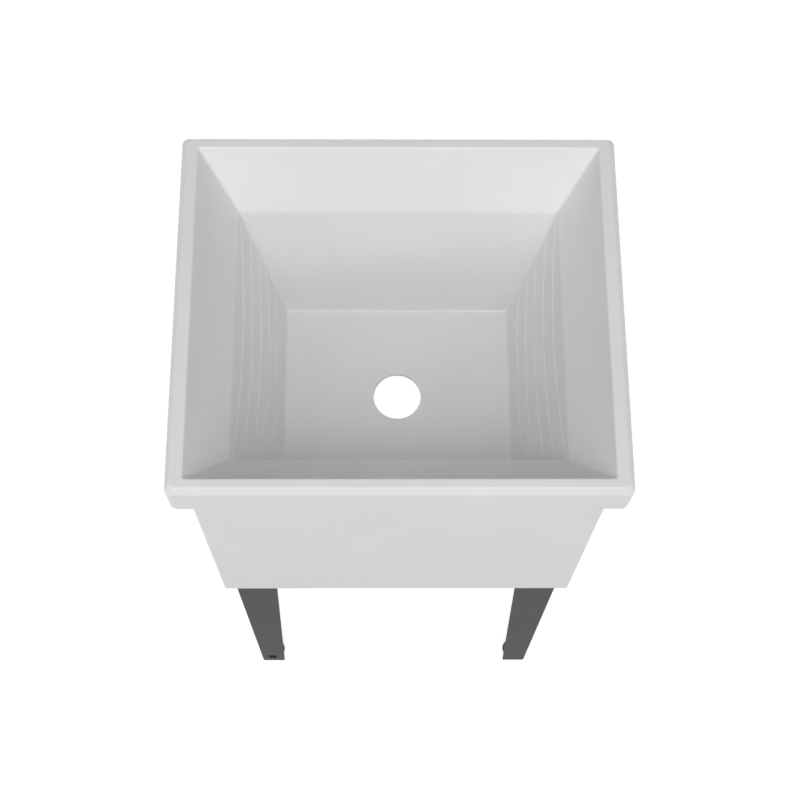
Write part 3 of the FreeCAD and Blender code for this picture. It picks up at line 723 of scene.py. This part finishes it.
def hexagon(bm, bottom, top, bore=0.0):
    """A six-sided prism on the Z axis with chamfered ends, plain or with a round bore."""
    known = set(bm.verts)
    place = Matrix.Translation((0, 0, bottom)) @ Matrix.Rotation(HEX_TURN, 4, "Z")
    verts = bmesh.ops.create_circle(bm, segments=HEX_SIDES, radius=HEX_FLATS / math.sqrt(3),
                                    cap_ends=(bore == 0), matrix=place)["verts"]
    if bore == 0:
        faces = faces_with(verts)
    else:
        faces = fill(bm, ring_edges(verts) + ring_hole(bm, bore, place))
    thicken(bm, faces, top - bottom)
    made = made_since(bm, known)
    turn_outwards(bm, faces_with(made))
    sharp = sharp_edges(ring_edges(made), SHARP_ANGLE)
    ends = [e for e in sharp if abs(e.verts[0].co.z - e.verts[1].co.z) < TINY]
    round_edges(bm, ends, HEX_EDGE, steps=1)


def threaded_shank(bm, bottom, top):
    """A right-hand vee thread, cut square at both ends."""
    known = set(bm.verts)
    root = STUD_RADIUS - THREAD_DEPTH
    turns = math.ceil((top - bottom) / THREAD_PITCH) + THREAD_SPARE_TURNS
    start = bottom - THREAD_PITCH
    vee = [(root, start), (STUD_RADIUS, start + THREAD_PITCH / 2), (root, start + THREAD_PITCH)]
    bmesh.ops.spin(bm, geom=half_section(bm, vee), cent=(0, 0, 0), axis=(0, 0, 1), angle=FULL_TURN * turns,
                   steps=turns * THREAD_STEPS, dvec=(0, 0, THREAD_PITCH / THREAD_STEPS))
    bmesh.ops.remove_doubles(bm, verts=made_since(bm, known), dist=TINY)
    for height, keep in ((bottom, 1), (top, -1)):
        faces = faces_with(made_since(bm, known))
        shank = made_since(bm, known) + edges_of(faces) + faces
        cut = bmesh.ops.bisect_plane(bm, geom=shank, dist=MERGE, plane_co=(0, 0, height),
                                     plane_no=(0, 0, -keep), clear_outer=True)["geom_cut"]
        fill(bm, [g for g in cut if isinstance(g, bmesh.types.BMEdge)])


def make_stud(index, metal):
    """Ball end, neck, hexagon collar to turn it by, and a threaded shank that runs in the nut."""
    corner = CORNERS[index]
    bm = bmesh.new()
    neck_angle = math.degrees(math.acos(NECK_RADIUS / BALL_RADIUS))
    ball = arc((0, BALL_HEIGHT), BALL_RADIUS, -90, neck_angle, BALL_STEPS)
    turn_profile(bm, ball + [(NECK_RADIUS, COLLAR_BOTTOM), (0, COLLAR_BOTTOM)])
    bmesh.ops.remove_doubles(bm, verts=bm.verts[:], dist=MERGE)
    hexagon(bm, COLLAR_BOTTOM, COLLAR_TOP)
    threaded_shank(bm, COLLAR_TOP, stud_top)
    turn_outwards(bm)
    stand_on_foot(bm, index)
    add_piece(bm, f"threaded_stud_{corner}", f"stud_{corner}", "zinc", metal, f"levelling_stud_{corner}")


def make_nut(index, metal):
    """The hexagon nut that is welded on the foot tab."""
    corner = CORNERS[index]
    bm = bmesh.new()
    hexagon(bm, nut_low.z, nut_high.z, STUD_BORE)
    stand_on_foot(bm, index)
    add_piece(bm, f"hexagon_nut_{corner}", "frame", "zinc", metal, f"weld_nut_{corner}")


def make_pad(index, rubber):
    """A turned disc that rises to a socket round the stud's ball, with tread grooves underneath."""
    corner = CORNERS[index]
    bm = bmesh.new()
    tread = [(0, 0)]
    for middle in PAD_GROOVES:
        tread += [(middle - PAD_GROOVE, 0), (middle, PAD_GROOVE), (middle + PAD_GROOVE, 0)]
    edge = arc((PAD_RADIUS - PAD_FOOT_EDGE, PAD_FOOT_EDGE), PAD_FOOT_EDGE, -90, 0, PAD_FOOT_STEPS)
    foot = Vector((PAD_RADIUS, 0))
    shoulder = Vector((PAD_RADIUS, PAD_BASE))
    brim = Vector((PAD_TOP_RADIUS, PAD_HEIGHT))
    flank = [tuple(p) for p in rounded_corner(foot, shoulder, brim, PAD_EDGE, EDGE_STEPS)]
    mouth_angle = math.degrees(math.asin((PAD_HEIGHT - BALL_HEIGHT) / SOCKET_RADIUS))
    socket = arc((0, BALL_HEIGHT), SOCKET_RADIUS, mouth_angle, -90, BALL_STEPS)
    turn_profile(bm, tread + edge + flank + [tuple(brim)] + socket, PAD_STEPS)
    weld(bm)
    stand_on_foot(bm, index)
    add_piece(bm, f"round_pad_{corner}", f"pad_{corner}", "black_pad", rubber, f"foot_pad_{corner}")


# Materials

class Finish:
    """A material with one shader, patterned on the piece's own coordinates."""

    def __init__(self, name, **sockets):
        self.material = bpy.data.materials.new(name)
        self.material.use_nodes = True
        self.tree = self.material.node_tree
        self.shader = self.tree.nodes["Principled BSDF"]
        self.place = self.tree.nodes.new("ShaderNodeTexCoord").outputs["Object"]
        for socket, value in sockets.items():
            self.shader.inputs[socket.replace("_", " ")].default_value = value

    def link(self, start, end):
        self.tree.links.new(start, end)

    def noise(self, scale, detail=NOISE_DETAIL):
        texture = self.tree.nodes.new("ShaderNodeTexNoise")
        texture.inputs["Scale"].default_value = scale
        texture.inputs["Detail"].default_value = detail
        self.link(self.place, texture.inputs["Vector"])
        return texture.outputs["Fac"]

    def tint(self, scale, dark, light):
        """Base colour between two tones of one paint or plastic."""
        ramp = self.tree.nodes.new("ShaderNodeValToRGB")
        ramp.color_ramp.elements[0].position = DARK_TONE_AT
        ramp.color_ramp.elements[0].color = (*dark, 1)
        ramp.color_ramp.elements[1].position = LIGHT_TONE_AT
        ramp.color_ramp.elements[1].color = (*light, 1)
        self.link(self.noise(scale), ramp.inputs["Fac"])
        self.link(ramp.outputs["Color"], self.shader.inputs["Base Color"])

    def gloss(self, scale, smooth, rough):
        """Roughness between two values."""
        spread = self.tree.nodes.new("ShaderNodeMapRange")
        spread.inputs["To Min"].default_value = smooth
        spread.inputs["To Max"].default_value = rough
        self.link(self.noise(scale), spread.inputs["Value"])
        self.link(spread.outputs["Result"], self.shader.inputs["Roughness"])

    def relief(self, scale, detail, strength, depth):
        """Fine surface relief."""
        bump = self.tree.nodes.new("ShaderNodeBump")
        bump.inputs["Strength"].default_value = strength
        bump.inputs["Distance"].default_value = depth
        self.link(self.noise(scale, detail), bump.inputs["Height"])
        self.link(bump.outputs["Normal"], self.shader.inputs["Normal"])


def moulded_plastic():
    finish = Finish("white_moulded_plastic")
    finish.tint(scale=9.0, dark=(0.79, 0.79, 0.79), light=(0.82, 0.82, 0.82))
    finish.gloss(scale=60.0, smooth=0.29, rough=0.37)
    finish.relief(scale=260.0, detail=1.0, strength=0.03, depth=0.0002)
    return finish.material


def leg_paint():
    finish = Finish("grey_satin_paint", Specular_IOR_Level=0.12)
    finish.tint(scale=40.0, dark=(0.052, 0.052, 0.053), light=(0.062, 0.062, 0.063))
    finish.gloss(scale=150.0, smooth=0.50, rough=0.60)
    finish.relief(scale=1600.0, detail=2.0, strength=0.15, depth=0.0002)
    return finish.material


def zinc_plate():
    finish = Finish("zinc_plate", Metallic=1.0)
    finish.tint(scale=180.0, dark=(0.55, 0.56, 0.58), light=(0.68, 0.69, 0.71))
    finish.gloss(scale=400.0, smooth=0.3, rough=0.44)
    finish.relief(scale=2500.0, detail=2.0, strength=0.1, depth=0.0001)
    return finish.material


def pad_rubber():
    finish = Finish("black_pad_rubber")
    finish.tint(scale=220.0, dark=(0.016, 0.016, 0.016), light=(0.028, 0.028, 0.027))
    finish.gloss(scale=350.0, smooth=0.55, rough=0.75)
    finish.relief(scale=1800.0, detail=2.0, strength=0.2, depth=0.0002)
    return finish.material


# Floor, light and camera

def seen_directly(tree):
    """One where a camera ray, or a glossy or clear ray, arrives, and zero for light that spreads."""
    path = tree.nodes.new("ShaderNodeLightPath")
    total = path.outputs["Is Camera Ray"]
    for kind in ("Is Glossy Ray", "Is Transmission Ray"):
        larger = tree.nodes.new("ShaderNodeMath")
        larger.operation = "MAXIMUM"
        tree.links.new(total, larger.inputs[0])
        tree.links.new(path.outputs[kind], larger.inputs[1])
        total = larger.outputs["Value"]
    return total


def mix_shaders(tree, share, first, second):
    """The first shader where the share is zero, and the second where it is one."""
    mix = tree.nodes.new("ShaderNodeMixShader")
    tree.links.new(share, mix.inputs["Fac"])
    tree.links.new(first, mix.inputs[1])
    tree.links.new(second, mix.inputs[2])
    return mix.outputs["Shader"]


def pale_floor():
    """Bright where it is seen, plain where light spreads from it, and clear from below."""
    material = bpy.data.materials.new("pale_floor")
    material.use_nodes = True
    tree = material.node_tree
    tree.nodes.clear()
    diffuse = tree.nodes.new("ShaderNodeBsdfDiffuse")
    diffuse.inputs["Color"].default_value = FLOOR_COLOUR
    glow = tree.nodes.new("ShaderNodeEmission")
    glow.inputs["Strength"].default_value = FLOOR_GLOW
    lit = tree.nodes.new("ShaderNodeAddShader")
    tree.links.new(diffuse.outputs["BSDF"], lit.inputs[0])
    tree.links.new(glow.outputs["Emission"], lit.inputs[1])
    above = mix_shaders(tree, seen_directly(tree), diffuse.outputs["BSDF"], lit.outputs["Shader"])
    from_below = tree.nodes.new("ShaderNodeNewGeometry").outputs["Backfacing"]
    clear = tree.nodes.new("ShaderNodeBsdfTransparent").outputs["BSDF"]
    surface = tree.nodes.new("ShaderNodeOutputMaterial")
    tree.links.new(mix_shaders(tree, from_below, above, clear), surface.inputs["Surface"])
    return material


def make_floor():
    """A pale floor that keeps the tub's shadow."""
    bm = bmesh.new()
    bmesh.ops.create_grid(bm, x_segments=1, y_segments=1, size=FLOOR_SIZE / 2)
    mesh = bpy.data.meshes.new("floor")
    bm.to_mesh(mesh)
    bm.free()
    mesh.materials.append(pale_floor())
    floor = bpy.data.objects.new("floor", mesh)
    bpy.context.scene.collection.objects.link(floor)


def make_world():
    """White where it is seen, and a softer even light where it falls on the tub."""
    world = bpy.data.worlds.new("studio")
    bpy.context.scene.world = world
    world.use_nodes = True
    tree = world.node_tree
    soft = tree.nodes["Background"]
    soft.inputs["Color"].default_value = WHITE
    soft.inputs["Strength"].default_value = AMBIENT
    white = tree.nodes.new("ShaderNodeBackground")
    white.inputs["Color"].default_value = WHITE
    sky = mix_shaders(tree, seen_directly(tree), soft.outputs["Background"], white.outputs["Background"])
    tree.links.new(sky, tree.nodes["World Output"].inputs["Surface"])


def make_soft_box(name, bearing, rise, width, height, power):
    """A broad soft lamp that faces the tub."""
    lamp = bpy.data.lights.new(name, "AREA")
    lamp.shape = "RECTANGLE"
    lamp.size = width
    lamp.size_y = height
    lamp.energy = power
    holder = bpy.data.objects.new(name, lamp)
    turned = Matrix.Rotation(math.radians(bearing), 4, "Z") @ Matrix.Rotation(math.radians(90 - rise), 4, "X")
    away = Matrix.Translation((0, 0, BOX_DISTANCE))
    holder.matrix_world = Matrix.Translation(BOX_TARGET) @ turned @ away
    bpy.context.scene.collection.objects.link(holder)


def make_camera():
    lens = bpy.data.cameras.new("camera")
    lens.sensor_width = SENSOR_MM
    lens.lens = LENS_MM
    camera = bpy.data.objects.new("camera", lens)
    turned = Matrix.Rotation(CAMERA_TILT, 4, "X") @ Matrix.Rotation(CAMERA_TURN, 4, "Y")
    camera.matrix_world = Matrix.Translation(CAMERA_PLACE) @ turned
    bpy.context.scene.collection.objects.link(camera)
    bpy.context.scene.camera = camera


# The whole scene

plastic = moulded_plastic()
paint = leg_paint()
zinc = zinc_plate()
rubber = pad_rubber()
make_tub(plastic)
make_landings(plastic)
for index in range(len(CORNERS)):
    make_leg(index, paint)
    make_per_screw(screw_mesh, "pan_screws", "leg_screws", index, zinc)
    make_per_screw(washer_mesh, "flat_washers", "leg_washers", index, zinc)
    make_nut(index, zinc)
    make_stud(index, zinc)
    make_pad(index, rubber)
make_floor()
make_world()
for name, settings in SOFT_BOXES.items():
    make_soft_box(name, *settings)
make_camera()
bpy.context.scene.view_settings.view_transform = "Standard"
